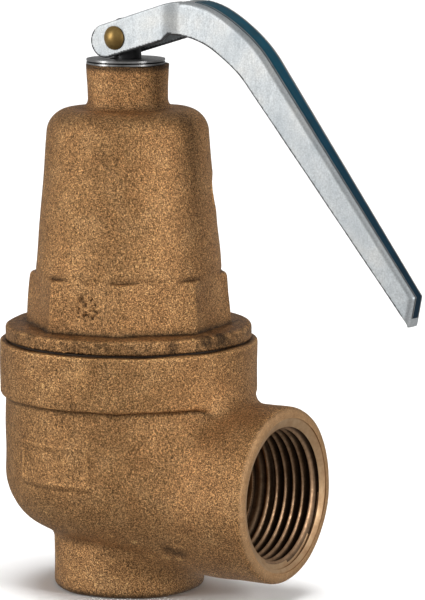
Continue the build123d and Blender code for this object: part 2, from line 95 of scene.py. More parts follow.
# Bonnet casting
JOINT_Z = 57.15
FLANGE_R = 27.8
FLANGE_TOP_Z = 60.5
FLANGE_EDGE = 0.8
FLANGE_LOWER_EDGE = 0.3
BELL_CREASE = (21.25, 72.5, 0.42)
OCTAGON_APOTHEM = 21.6
OCTAGON_DRAFT = 0.0787
OCTAGON_FACE_DEG = 6.35
OCTAGON_CORNER = (22.7, 71.4)
ROOF_DEG = 34.0
BELL_BOTTOM = (20.95, 73.4)
BELL_TOP = (17.7, 109.1)
BELL_SHOULDER = 5.0
BELL_FILLET = 0.4
NECK_FILLET = 2.0
NECK_R = 9.05
NECK_TOP_R = 9.25
NECK_TOP_Z = 119.05
SPIGOT_BOTTOM_Z = 50.4
SPIGOT_INNER_R = 21.5
SPRING_ROOM_R = 16.8
SPRING_CEILING_Z = 105.6
SCREW_BORE_R = 6.55
VENT_R = 4.0
VENT_Z = 90.0
VENT_DEG = 30.35
SPRING_ROOM_TAPER = 0.036
BONNET_MESH_STEP = 0.4
PIT_COUNT = 18
PIT_ALONG = (-2.2, 3.0)
PIT_Z = (64.2, 69.2)
PIT_SIZE = (0.30, 0.52)

# Lever, drawn in the XZ plane and then turned about the stem; outline points are (x, height above the pin)
LEVER_HEADING_DEG = -2.65
PIVOT_Z = 125.1
SHEET = 1.2
SHEET_EDGE = 0.22
BEND_R = 1.15
FORK_DEG = 17.1
HEEL_BACK = 2.98
HEEL_R = 3.75
KNEE_TOP = [(12.6, 7.9), (19.0, 8.75), (26.0, 7.0), (34.0, 2.1), (39.8, -3.7)]
WEB_END = (76.8, -52.3)
TIP = (75.4, -59.4)
FLANGE_END = (74.9, -57.8)
KNEE_UNDER = [(34.0, -8.4), (26.5, -2.2), (20.5, 0.5), (14.4, 1.4)]
RELIEF_NOTCH = (12.8, -0.1)
# Width of the painted shade along the lever's lower cut edge.
EDGE_SHADE_WIDTH = 0.42
WEB_START_X = 17.5
FORK_HALF_WIDTH = 5.0
JOGGLE_X = (12.4, 17.4)
CHANNEL_HALF_WIDTHS = (4.05, 2.4)
LEVER_REACH_X = 77.4
PIN_HOLE_R = 1.8
STRIP_MARGIN = 1.1
STRIP_START_X = 20.6
STRIP_TIP_GAP = 2.5
STRIP_H = 0.09
STRIP_LINES = (0.10, 0.20)
STRIP_SLOTS = {0: 1, 1: 2, 5: 2, 6: 1}
LEVER_MESH_STEP = 0.25

# Soft and wound parts inside
DIAPHRAGM_H = 1.2
DIAPHRAGM_HUB_Z = 48.7
DIAPHRAGM_RADII = (6.05, 15.7, 18.2, 25.0)
SPRING_COIL_R = 11.6
SPRING_WIRE_R = 2.0
SPRING_TURNS = 7
SPRING_Z = (54.2, 99.0)
SPRING_CLOSED_ENDS = 0.028

# Camera and stage
CAMERA_LENS = 225.0
CAMERA_SENSOR = 36.0
CAMERA_AZIMUTH_DEG = -56.7
CAMERA_ELEVATION_DEG = 8.75
CAMERA_DISTANCE = 848.0
CAMERA_TARGET_Z = 65.37
CAMERA_SIDESTEP = 19.0
WORLD_STRENGTH = 0.29
FLOOR_HALF = 6000
FLOOR_SUN = 3.2
FLOOR_SUN_SPREAD_DEG = 40

# Lights, in metres, degrees and watts: (name, azimuth, elevation, distance, width, height, power)
LIGHT_TARGET = (0.01, 0, 0.07)
SOFT_BOXES = [
    ("soft_box_left", -126, 10, 1.3, 0.32, 0.8, 9.5),
    ("soft_box_right", -1, 10, 1.3, 0.32, 0.8, 11.0),
]


# Implicit shapes: a field is below zero inside the solid.
def join_round(a, b, radius):
    """Union of two fields with a round fillet between them."""
    reach = np.hypot(np.maximum(radius - a, 0), np.maximum(radius - b, 0))
    return np.maximum(radius, np.minimum(a, b)) - reach


def meet_round(a, b, radius):
    """Intersection of two fields with a rounded edge."""
    reach = np.hypot(np.maximum(radius + a, 0), np.maximum(radius + b, 0))
    return np.minimum(-radius, np.maximum(a, b)) + reach


def slab(value, low, high):
    """Field of the space between two parallel planes."""
    return np.maximum(low - value, value - high)


def unevenness(x, y, z):
    """Slow waviness of a sand mould, in millimetres."""
    rng = np.random.default_rng(7)
    total = np.zeros(np.broadcast(x, y, z).shape)
    for _ in range(9):
        direction = rng.normal(size=3)
        direction *= 2 * pi / rng.uniform(7, 24) / np.linalg.norm(direction)
        along = direction[0] * x + direction[1] * y + direction[2] * z
        total = total + np.sin(along + rng.uniform(0, 6))
    return 0.035 * total


def surface_mesh(name, field, low, high, step):
    """Quad mesh of the surface where a field is zero, one point in each cell that it crosses."""
    axes = [np.arange(a, b + step, step) for a, b in zip(low, high)]
    grid = np.meshgrid(*axes, indexing="ij", sparse=True)
    value = np.broadcast_to(field(*grid), [len(a) for a in axes]).astype(np.float32)
    inside = value < 0
    corners = np.array([(i, j, k) for i in (0, 1) for j in (0, 1) for k in (0, 1)])
    cell_shape = np.array(value.shape) - 1
    count = sum(
        inside[i : i + cell_shape[0], j : j + cell_shape[1], k : k + cell_shape[2]].astype(np.int8)
        for i, j, k in corners
    )
    cells = np.argwhere((count > 0) & (count < 8))
    index = np.full(cell_shape, -1)
    index[tuple(cells.T)] = np.arange(len(cells))
    at = np.stack([value[tuple((cells + c).T)] for c in corners], 1)
    total = np.zeros((len(cells), 3))
    hits = np.zeros(len(cells))
    for a in range(8):
        for b in range(a + 1, 8):
            if np.abs(corners[a] - corners[b]).sum() != 1:
                continue
            crossed = (at[:, a] < 0) != (at[:, b] < 0)
            share = np.where(crossed, at[:, a] / np.where(crossed, at[:, a] - at[:, b], 1), 0)
            total += crossed[:, None] * (corners[a] + share[:, None] * (corners[b] - corners[a]))
            hits += crossed
    points = np.array(low) + (cells + total / hits[:, None]) * step
    quads = []
    for axis in range(3):
        ahead, side_1, side_2 = np.roll(np.eye(3, dtype=int), -axis, axis=0)
        here = inside[tuple(slice(0, n) for n in cell_shape)]
        there = inside[tuple(slice(s, s + n) for s, n in zip(ahead, cell_shape))]
        for solid_first in (True, False):
            edges = np.argwhere((here != there) & (here == solid_first))
            edges = edges[(edges @ side_1 > 0) & (edges @ side_2 > 0)]
            ring = [edges - side_1 - side_2, edges - side_2, edges, edges - side_1]
            if not solid_first:
                ring.reverse()
            quads.append(np.stack([index[tuple(cell.T)] for cell in ring], 1))
    return mesh_object(name, points, np.concatenate(quads).tolist())


def mesh_object(name, points, faces):
    """Object from points in millimetres and faces."""
    mesh = bpy.data.meshes.new(name)
    mesh.from_pydata((np.array(points, float) * MM).tolist(), [], faces)
    mesh.update()
    mesh.shade_smooth()
    piece = bpy.data.objects.new(name, mesh)
    bpy.context.scene.collection.objects.link(piece)
    return piece


def spun(name, profile, steps=160):
    """Closed solid of revolution from (radius, height) corners that start and end on the Z axis."""
    count = len(profile)
    angles = np.arange(steps) * 2 * pi / steps
    points = [(r * cos(a), r * sin(a), z) for a in angles for r, z in profile[1:-1]]
    inner = count - 2
    points += [(0, 0, profile[0][1]), (0, 0, profile[-1][1])]
    first, last = len(points) - 2, len(points) - 1
    faces = []
    for i in range(steps):
        here, there = i * inner, (i + 1) % steps * inner
        faces.append((first, there, here))
        faces.append((last, here + inner - 1, there + inner - 1))
        faces += [(here + j, there + j, there + j + 1, here + j + 1) for j in range(inner - 1)]
    return mesh_object(name, points, faces)


def drill(name, radius, low, high):
    """Plain round cutter about Z between two heights."""
    return spun(name, [(0, low), (radius, low), (radius, high), (0, high)])


def ring_solid(name, profile, steps=128):
    """Closed ring about Z from a closed (radius, height) outline, given anticlockwise."""
    count = len(profile)
    angles = np.arange(steps) * 2 * pi / steps
    points = [(r * cos(a), r * sin(a), z) for a in angles for r, z in profile]
    faces = []
    for i in range(steps):
        here, there = i * count, (i + 1) % steps * count
        for j in range(count):
            k = (j + 1) % count
            faces.append((here + j, there + j, there + k, here + k))
    return mesh_object(name, points, faces)


def screw_cutter(name, thread, start, steps=144, per_pitch=10):
    """Solid screw about Z, from above the mouth down into the bore, that leaves a tapered thread."""
    pitch, minor_r, length = thread
    depth = THREAD_DEPTH * pitch
    rows = int((length + 2 * pitch) / pitch) * per_pitch
    top = start + 1.6 * pitch

    def radius(z, phase):
        wave = abs(2 * (phase % 1) - 1)
        bite = min(max((wave - 0.10) / 0.74, 0), 1)
        bite = bite * bite * (3 - 2 * bite) * 0.55 + bite * 0.45
        below = start - z
        fade = min(max((length - 1.0 - below) / (2.5 * pitch), 0), 1)
        return minor_r - below * THREAD_TAPER + depth * bite * fade

    points = []
    for i in range(steps):
        angle = 2 * pi * i / steps
        for j in range(rows + 1):
            z = top - (i / steps + j / per_pitch) * pitch
            r = radius(z, j / per_pitch)
            points.append((r * cos(angle), r * sin(angle), z))
    stride = rows + 1
    faces = []
    for i in range(steps):
        wrap = i == steps - 1
        here, there = i * stride, 0 if wrap else (i + 1) * stride
        shift = per_pitch if wrap else 0
        for j in range(rows):
            if j + 1 + shift <= rows:
                faces.append((here + j, here + j + 1, there + j + 1 + shift, there + j + shift))
    mouth = [i * stride for i in range(steps)] + list(range(per_pitch, 0, -1))
    inner_end = [(i + 1) * stride - 1 for i in range(steps)]
    last_row = (steps - 1) * stride
    points.append((0, 0, top))
    hub_top = len(points) - 1
    faces += [(hub_top, mouth[k], mouth[(k + 1) % len(mouth)]) for k in range(len(mouth))]
    # The far end steps back one pitch along the last row before it meets the first row again.
    far = inner_end + [last_row + rows - j for j in range(1, per_pitch + 1)]
    points.append((0, 0, top - (rows / per_pitch + 0.5) * pitch))
    hub_far = len(points) - 1
    faces += [(hub_far, far[(k + 1) % len(far)], far[k]) for k in range(len(far))]
    return mesh_object(name, points, faces)


def laid_along_x(piece, x, z):
    """Turns a cutter made about Z so that it points along +X, at a height."""
    turned = np.array([tuple(v.co) for v in piece.data.vertices])
    placed = np.stack([turned[:, 2] + x * MM, turned[:, 1], -turned[:, 0] + z * MM], 1)
    piece.data.vertices.foreach_set("co", placed.astype(np.float32).ravel())
    piece.data.update()
    return piece


def cut(piece, cutter):
    """Takes a cutter out of a piece and removes the cutter."""
    modifier = piece.modifiers.new("cut", "BOOLEAN")
    modifier.operation = "DIFFERENCE"
    modifier.solver = "MANIFOLD"
    modifier.object = cutter
    apply_modifiers(piece)
    bpy.data.objects.remove(cutter)


def apply_modifiers(piece):
    """Puts the result of a piece's modifiers into its mesh."""
    bpy.context.view_layer.update()
    evaluated = piece.evaluated_get(bpy.context.evaluated_depsgraph_get())
    made = bpy.data.meshes.new_from_object(evaluated)
    piece.modifiers.clear()
    piece.data = made


def face_centres(piece):
    """Face centres in millimetres."""
    centres = np.zeros(len(piece.data.polygons) * 3)
    piece.data.polygons.foreach_get("center", centres)
    return centres.reshape(-1, 3).T / MM


def crisp(piece, degrees):
    """Smooth shading that stays sharp over edges steeper than an angle."""
    piece.data.shade_smooth()
    piece.data.set_sharp_from_angle(angle=radians(degrees))
    return piece


# Castings
def body_outside(x, y, z):
    """Hub, round bowl, band, pad and outlet boss, joined by their fillets."""
    r = np.hypot(x, y)
    beside, below = np.maximum(r - (BODY_R - BOWL_R), 0), np.maximum(BOWL_CENTRE_Z - z, 0)
    bowl = np.hypot(beside, below) - BOWL_R
    wall = np.maximum(bowl, z - BAND_TOP_Z + 2)
    band = meet_round(r - BAND_R, slab(z, BAND_BOTTOM_Z, BAND_TOP_Z), BAND_EDGE)
    hub = meet_round(r - HUB_R, slab(z, 0, BOWL_CENTRE_Z), HUB_EDGE)
    arc = BODY_R * (np.arctan2(y, x) - radians(PAD_MID_DEG))
    pad_frame = np.maximum(slab(z, *PAD_Z), np.abs(arc) - PAD_HALF_ARC)
    sunk = 0.5 * PAD_PROUD * np.clip(-(pad_frame + PAD_BORDER) / 0.5, 0, 1)
    worn = 0.10 * np.sin(1.35 * arc + 0.6 * z) * np.sin(0.9 * z + 1.3) * (sunk > 0)
    pad_face = r - BODY_R - PAD_PROUD + sunk + worn
    pad = meet_round(meet_round(pad_face, pad_frame, PAD_EDGE), 20 - r, 0.1)
    round_body = join_round(join_round(wall, band, 0.7), hub, HUB_FILLET)
    round_body = join_round(round_body, pad, 0.25)
    boss_slab = slab(x, 4, OUTLET_X)
    boss = meet_round(np.hypot(y, z - OUTLET_Z) - BOSS_R, boss_slab, BOSS_EDGE)
    return join_round(round_body, boss, BOSS_FILLET) + unevenness(x, y, z)


def body_field(x, y, z):
    """Body casting with its chamber and outlet passage."""
    r = np.hypot(x, y)
    chamber = meet_round(r - CHAMBER_R, CHAMBER_FLOOR_Z - z, 2.0)
    passage = np.maximum(np.hypot(y, z - OUTLET_Z) - PASSAGE_R, PASSAGE_START_X - x)
    hollow = join_round(chamber, passage, 1.5)
    return np.maximum(np.maximum(body_outside(x, y, z), -hollow), -z)


def octagon(x, y, z):
    """Drafted octagonal block with cast corners and a sloping roof."""
    turn = np.arctan2(y, x) - radians(OCTAGON_FACE_DEG)
    eighth = pi / 4
    off = turn - eighth * np.round(turn / eighth)
    r = np.hypot(x, y)
    apothem = OCTAGON_APOTHEM - OCTAGON_DRAFT * (z - FLANGE_TOP_Z)
    nearest = r * np.cos(off) - apothem
    beside = r * np.cos(eighth - np.abs(off)) - apothem
    sides = meet_round(nearest, beside, 0.35)
    slope = radians(ROOF_DEG)
    corner_r, corner_z = OCTAGON_CORNER
    roof = (z - corner_z + (r - corner_r) * tan(slope)) * cos(slope)
    return meet_round(np.maximum(sides, FLANGE_TOP_Z - 2 - z), roof, 0.2)


def bonnet_outside(x, y, z):
    """Flange, wrench section, bell and neck, joined by their fillets."""
    r = np.hypot(x, y)
    flange = meet_round(r - FLANGE_R, z - FLANGE_TOP_Z, FLANGE_EDGE)
    flange = meet_round(flange, JOINT_Z - z, FLANGE_LOWER_EDGE)
    share = (z - BELL_BOTTOM[1]) / (BELL_TOP[1] - BELL_BOTTOM[1])
    bell_r = BELL_BOTTOM[0] + share * (BELL_TOP[0] - BELL_BOTTOM[0])
    bell = meet_round(r - bell_r, z - BELL_TOP[1], BELL_SHOULDER)
    bell = meet_round(bell, BELL_BOTTOM[1] - 1.2 - z, 0.25)
    neck_share = (z - BELL_TOP[1]) / (NECK_TOP_Z - BELL_TOP[1])
    neck_r = NECK_R + neck_share * (NECK_TOP_R - NECK_R)
    neck = np.maximum(r - neck_r, slab(z, BELL_TOP[1] - 4, NECK_TOP_Z))
    outside = join_round(join_round(flange, octagon(x, y, z), 0.2), bell, BELL_FILLET)
    crease_r, crease_z, crease_size = BELL_CREASE
    outside = meet_round(outside, crease_size - np.hypot(r - crease_r, z - crease_z), 0.2)
    return join_round(outside, neck, NECK_FILLET)


def bonnet_hollow(x, y, z):
    """Spring room, the skirt's flared mouth and the bore for the adjusting screw."""
    r = np.hypot(x, y)
    room_r = SPRING_ROOM_R - (z - FLANGE_TOP_Z) * SPRING_ROOM_TAPER
    room = meet_round(r - room_r, z - SPRING_CEILING_Z, 2.0)
    flared = r - SPIGOT_INNER_R + np.maximum(z - JOINT_Z + 2, 0) * 1.1
    skirt = np.maximum(flared, z - FLANGE_TOP_Z - 1)
    return np.minimum(np.minimum(room, skirt), r - SCREW_BORE_R)


def vent_hole(x, y, z):
    """Round cast hole in one side of the bell."""
    heading = radians(VENT_DEG)
    ahead = x * cos(heading) + y * sin(heading)
    sideways = y * cos(heading) - x * sin(heading)
    return np.maximum(np.hypot(sideways, z - VENT_Z) - VENT_R, 10 - ahead)


def bonnet_field(x, y, z):
    """Bonnet casting with its spigot, hollow, vent and pits."""
    outside = bonnet_outside(x, y, z) + unevenness(x, y, z + 90)
    spigot = np.maximum(np.hypot(x, y) - SPIGOT_BORE_R, slab(z, SPIGOT_BOTTOM_Z, JOINT_Z + 1))
    solid = np.maximum(np.minimum(outside, spigot), -bonnet_hollow(x, y, z))
    return np.maximum(meet_round(solid, -vent_hole(x, y, z), 0.35), casting_pits(x, y, z))


def casting_pits(x, y, z):
    """A cluster of small sand holes on one wrench flat, above zero only inside a hole."""
    rng = np.random.default_rng(3)
    depth = np.full(np.broadcast(x, y, z).shape, -1.0)
    face = radians(OCTAGON_FACE_DEG - 90)
    for _ in range(PIT_COUNT):
        along, height, size = (rng.uniform(*span) for span in (PIT_ALONG, PIT_Z, PIT_SIZE))
        apothem = OCTAGON_APOTHEM - OCTAGON_DRAFT * (height - FLANGE_TOP_Z)
        cx = apothem * cos(face) - along * sin(face)
        cy = apothem * sin(face) + along * cos(face)
        away_from = np.sqrt((x - cx) ** 2 + (y - cy) ** 2 + (z - height) ** 2)
        depth = np.maximum(depth, size - away_from)
    return depth


def make_body():
    """Body casting with its threads, facings and bores machined, and the material slot of each face."""
    reach = BAND_R + 1
    low, high = (-reach, -reach, -1), (OUTLET_X + 1, reach, BAND_TOP_Z + 1)
    body = surface_mesh("body_casting_skin", body_field, low, high, BODY_MESH_STEP)
    mouth = [
        (0, OUTLET_X - MOUTH_DEPTH),
        (MOUTH_INNER_R, OUTLET_X - MOUTH_DEPTH),
        (MOUTH_R - 0.1, OUTLET_X - MOUTH_STEP),
        (MOUTH_R, OUTLET_X - MOUTH_STEP),
        (MOUTH_R, OUTLET_X + 1),
        (0, OUTLET_X + 1),
    ]
    cut(body, laid_along_x(spun("outlet_mouth", mouth), 0, OUTLET_Z))
    cut(body, laid_along_x(screw_cutter("outlet_tap", OUTLET_THREAD, OUTLET_X), 0, OUTLET_Z))
    inlet = screw_cutter("inlet_tap", INLET_THREAD, 0)
    for v in inlet.data.vertices:
        v.co.z *= -1
    inlet.data.flip_normals()
    cut(body, inlet)
    inlet_r = INLET_THREAD[1] + THREAD_DEPTH * INLET_THREAD[0]
    cut(body, spun("inlet_flare", [(0, -1), (inlet_r + 1, -1), (inlet_r - 2, 2), (0, 2)]))
    cut(body, drill("nozzle_hole", NOZZLE_HOLE_R, 5, CHAMBER_FLOOR_Z + 3))
    cut(body, drill("spigot_bore", SPIGOT_BORE_R, LEDGE_Z, BAND_TOP_Z + 2))
    return body, body_slots_of(body, inlet_r)


def body_slots_of(body, inlet_r):
    """Slot 1 for the outlet's flare, 2 for both threads and 0 for the cast skin."""
    x, y, z = face_centres(body)
    from_outlet = np.hypot(y, z - OUTLET_Z)
    thread_r = OUTLET_THREAD[1] + THREAD_DEPTH * OUTLET_THREAD[0]
    threads = (x > OUTLET_X - OUTLET_THREAD[2] - 1) & (from_outlet < thread_r + 0.2)
    flare_r = MOUTH_R - (OUTLET_X - x) * (MOUTH_R - MOUTH_INNER_R) / MOUTH_DEPTH
    on_flare = (from_outlet > flare_r - 0.35) & (from_outlet < MOUTH_R + 0.02)
    flare = (x > OUTLET_X - MOUTH_DEPTH - 0.2) & on_flare
    inlet_threads = (z < INLET_THREAD[2] + 1) & (np.hypot(x, y) < inlet_r + 0.2)
    return np.where(flare, 1, np.where(threads | inlet_threads, 2, 0))


def make_bonnet():
    """Bonnet casting."""
    reach = FLANGE_R + 1
    low, high = (-reach, -reach, SPIGOT_BOTTOM_Z - 1), (reach, reach, NECK_TOP_Z + 1)
    return surface_mesh("bonnet_casting_skin", bonnet_field, low, high, BONNET_MESH_STEP)


# Lever
def curve_through(points, start, end, per_span=10):
    """Smooth curve through points with given end directions."""
    p = np.array(points, float)
    slopes = np.empty_like(p)
    slopes[1:-1] = (p[2:] - p[:-2]) / 2
    slopes[0] = np.array(start) / np.linalg.norm(start) * np.linalg.norm(p[1] - p[0])
    slopes[-1] = np.array(end) / np.linalg.norm(end) * np.linalg.norm(p[-1] - p[-2])
    t = np.linspace(0, 1, per_span, endpoint=False)[:, None]
    rise = 3 * t**2 - 2 * t**3
    leave, arrive = t**3 - 2 * t**2 + t, t**3 - t**2
    spans = [
        (1 - rise) * a + leave * sa + rise * b + arrive * sb
        for a, b, sa, sb in zip(p, p[1:], slopes, slopes[1:])
    ]
    return np.concatenate(spans + [p[-1:]])


def lever_edges():
    """Upper edge from heel to tip and lower edge from tip to heel, measured from the pin."""
    lean = radians(FORK_DEG)
    centre = -HEEL_BACK * np.array([cos(lean), sin(lean)])
    along = np.array([cos(lean), sin(lean)])
    handle = np.array(WEB_END) - np.array(KNEE_TOP[-1])
    under = np.array(KNEE_UNDER[0]) - np.array(FLANGE_END)
    knee = curve_through(KNEE_TOP, along, handle)
    belly = curve_through(KNEE_UNDER, under, (-1, 0.1))
    round_end = lean + pi * (0.5 + np.arange(25) / 24)
    heel = centre + HEEL_R * np.stack([np.cos(round_end), np.sin(round_end)], 1)
    upper = np.concatenate([heel[:1], knee, [WEB_END]])
    lower = np.concatenate([[TIP, FLANGE_END], belly, [RELIEF_NOTCH], heel[:0:-1]])
    return upper, lower


def outline_distance(px, pz, outline):
    """Distance to a closed outline, negative inside."""
    nearest = np.full(px.shape, 1e9)
    crossings = np.zeros(px.shape, int)
    for a, b in zip(outline, np.roll(outline, -1, axis=0)):
        edge = b - a
        t = np.clip(((px - a[0]) * edge[0] + (pz - a[1]) * edge[1]) / (edge @ edge), 0, 1)
        gap_x, gap_z = px - a[0] - t * edge[0], pz - a[1] - t * edge[1]
        nearest = np.minimum(nearest, gap_x**2 + gap_z**2)
        if a[1] != b[1]:
            spans = (a[1] > pz) != (b[1] > pz)
            crossings += spans & (px < a[0] + (pz - a[1]) * edge[0] / edge[1])
    return np.where(crossings % 2 == 1, -1, 1) * np.sqrt(nearest)


def lever_half_width(x):
    """Half the width over the cheeks: parallel fork, joggle, then a tapering channel."""
    step = np.clip((x - JOGGLE_X[0]) / (JOGGLE_X[1] - JOGGLE_X[0]), 0, 1)
    step = step * step * (3 - 2 * step)
    taper = np.clip((x - JOGGLE_X[1]) / (LEVER_REACH_X - JOGGLE_X[1]), 0, 1)
    near, far = CHANNEL_HALF_WIDTHS
    return FORK_HALF_WIDTH + step * (near - FORK_HALF_WIDTH) + taper * (far - near)


def lever_field(x, y, z):
    """Sheet lever: side outline, folded web with round bends, open underneath."""
    height = z - PIVOT_Z
    upper, lower = lever_edges()
    px, pz = np.meshgrid(x.ravel(), height.ravel(), indexing="ij")
    side = outline_distance(px, pz, np.concatenate([upper, lower]))[:, None, :]
    below = np.array([TIP, (TIP[0] - 46, TIP[1] - 38), (-60, -120), (-60, -20)])
    under_top = outline_distance(px, pz, np.concatenate([upper, below]))[:, None, :]
    plates = np.abs(y) - lever_half_width(x)
    outer = meet_round(side, plates, SHEET_EDGE)
    bend = meet_round(under_top, plates, BEND_R)
    outer = np.where(x > WEB_START_X - 0.4, np.maximum(outer, bend), outer)
    hollow = np.maximum(plates + SHEET, np.minimum(under_top + 0.96 * SHEET, x - WEB_START_X))
    sheet = meet_round(outer, -hollow, SHEET_EDGE)
    return np.maximum(sheet, PIN_HOLE_R - np.hypot(x, height))


def on_heading(piece):
    """Turns a lever piece about the valve axis to the lever's heading."""
    piece.data.transform(Matrix.Rotation(radians(LEVER_HEADING_DEG), 4, "Z"))
    return piece


def edge_shade_slots(piece):
    """Slot 1, painted shade, for the faces along the sheet's lower cut edge, and slot 0 for the rest."""
    upper, lower = lever_edges()
    x, _, z = face_centres(piece)
    outline = np.concatenate([upper, lower])
    depth = -outline_distance(x, z - PIVOT_Z, outline)
    far_side = dense_line(np.concatenate([upper, [TIP]]))
    above = np.min([np.hypot(x - px, z - PIVOT_Z - pz) for px, pz in far_side], axis=0)
    return np.where((depth < EDGE_SHADE_WIDTH) & (above > 1.5 * SHEET), 1, 0)


def dense_line(corners, gap=0.4):
    """Points spaced evenly along a line through corners."""
    lengths = np.concatenate([[0], np.cumsum(np.linalg.norm(np.diff(corners, axis=0), axis=1))])
    stations = np.arange(0, lengths[-1], gap)
    return np.stack([np.interp(stations, lengths, corners[:, i]) for i in (0, 1)], 1)


def make_lever():
    """Lever sheet and the material slot of each face."""
    low = (-8.0, -FORK_HALF_WIDTH - 0.9, PIVOT_Z - 60.5)
    high = (LEVER_REACH_X + 0.9, FORK_HALF_WIDTH + 0.9, PIVOT_Z + 9.9)
    sheet = surface_mesh("lever_sheet", lever_field, low, high, LEVER_MESH_STEP)
    slots = edge_shade_slots(sheet)
    return on_heading(sheet), slots


def make_strip():
    """Thin blue film on the outside of the web, with bare lines beside it, and its slots."""
    upper, _ = lever_edges()
    upper = np.concatenate([upper, [TIP]])
    lengths = np.concatenate([[0], np.cumsum(np.linalg.norm(np.diff(upper, axis=0), axis=1))])
    start = np.interp(STRIP_START_X, upper[:-1, 0], lengths[:-1])
    end = lengths[-1] - STRIP_TIP_GAP
    stations = np.linspace(start, end, 150)
    line = np.stack([np.interp(stations, lengths, upper[:, i]) for i in (0, 1)], 1)
    heading = np.gradient(line, axis=0)
    heading /= np.linalg.norm(heading, axis=1)[:, None]
    rng = np.random.default_rng(11)
    points, faces = [], []
    outer_half = [-1, -1 + STRIP_LINES[0], -1 + STRIP_LINES[1], -0.4]
    across = np.array(outer_half + [-share for share in reversed(outer_half)])
    for i, (p, d) in enumerate(zip(line, heading)):
        half = float(lever_half_width(p[0]))
        near, far = (side * (half - STRIP_MARGIN) + rng.normal() * 0.02 for side in (-1, 1))
        for side, lift in ((1, STRIP_H), (-1, -0.05)):
            for s in across * side:
                ragged = 0.5 * abs(sin(7 * s + 1)) if i == 0 else 0
                x = p[0] - d[1] * lift - ragged * d[0]
                z = p[1] + d[0] * lift - ragged * d[1]
                points.append((x, (near + far) / 2 + s * (far - near) / 2, PIVOT_Z + z))
    loop = 2 * len(across)
    slots = []
    for i in range(len(line) - 1):
        for j in range(loop):
            k = (j + 1) % loop
            faces.append((i * loop + j, (i + 1) * loop + j, (i + 1) * loop + k, i * loop + k))
            slots.append(STRIP_SLOTS.get(j, 0))
    faces.append(tuple(range(loop)))
    faces.append(tuple(reversed(range((len(line) - 1) * loop, len(line) * loop))))
    return crisp(on_heading(mesh_object("lever_blue_strip", points, faces)), 40), slots + [0, 0]


# Wound and soft parts
def make_spring():
    """Round wire wound between the two buttons, closed and ground at both ends."""
    low, high = SPRING_Z
    turns = SPRING_TURNS
    around = 20
    steps = turns * 48
    points = []
    for i in range(steps + 1):
        t = i / steps
        angle = 2 * pi * turns * t
        ease = t - SPRING_CLOSED_ENDS * sin(2 * pi * t)
        z = low + SPRING_WIRE_R * 0.75 + (high - low - SPRING_WIRE_R * 1.5) * ease
        for k in range(around):
            turn = 2 * pi * k / around
            r = SPRING_COIL_R + SPRING_WIRE_R * cos(turn)
            height = min(max(z + SPRING_WIRE_R * sin(turn), low), high)
            points.append((r * cos(angle), r * sin(angle), height))
    faces = []
    for i in range(steps):
        for k in range(around):
            n = (k + 1) % around
            faces.append((i * around + k, (i + 1) * around + k, (i + 1) * around + n, i * around + n))
    faces.append(tuple(reversed(range(around))))
    faces.append(tuple(range(steps * around, (steps + 1) * around)))
    piece = mesh_object("spring_wire", points, faces)
    piece.data.flip_normals()
    return piece


def make_diaphragm():
    """Rubber diaphragm with a rolled step between its rim and its hub."""
    bore, inner, outer, rim = DIAPHRAGM_RADII
    rim_z, hub_z = LEDGE_Z + 0.02, DIAPHRAGM_HUB_Z
    shape = []
    for r in np.linspace(bore, rim, 60):
        share = min(max((outer - r) / (outer - inner), 0), 1)
        share = share * share * (3 - 2 * share)
        shape.append((r, rim_z + share * (hub_z - rim_z)))
    outline = shape + [(r, z + DIAPHRAGM_H - 0.04) for r, z in reversed(shape)]
    return crisp(ring_solid("diaphragm_rubber", outline), 40)


# Materials
def new_material(name, colour, metallic, roughness):
    """Principled material and a small helper to add nodes to it."""
    material = bpy.data.materials.new(name)
    material.use_nodes = True
    tree = material.node_tree
    shader = tree.nodes["Principled BSDF"]
    shader.inputs["Base Color"].default_value = (*colour, 1)
    shader.inputs["Metallic"].default_value = metallic
    shader.inputs["Roughness"].default_value = roughness
    return material, tree, shader


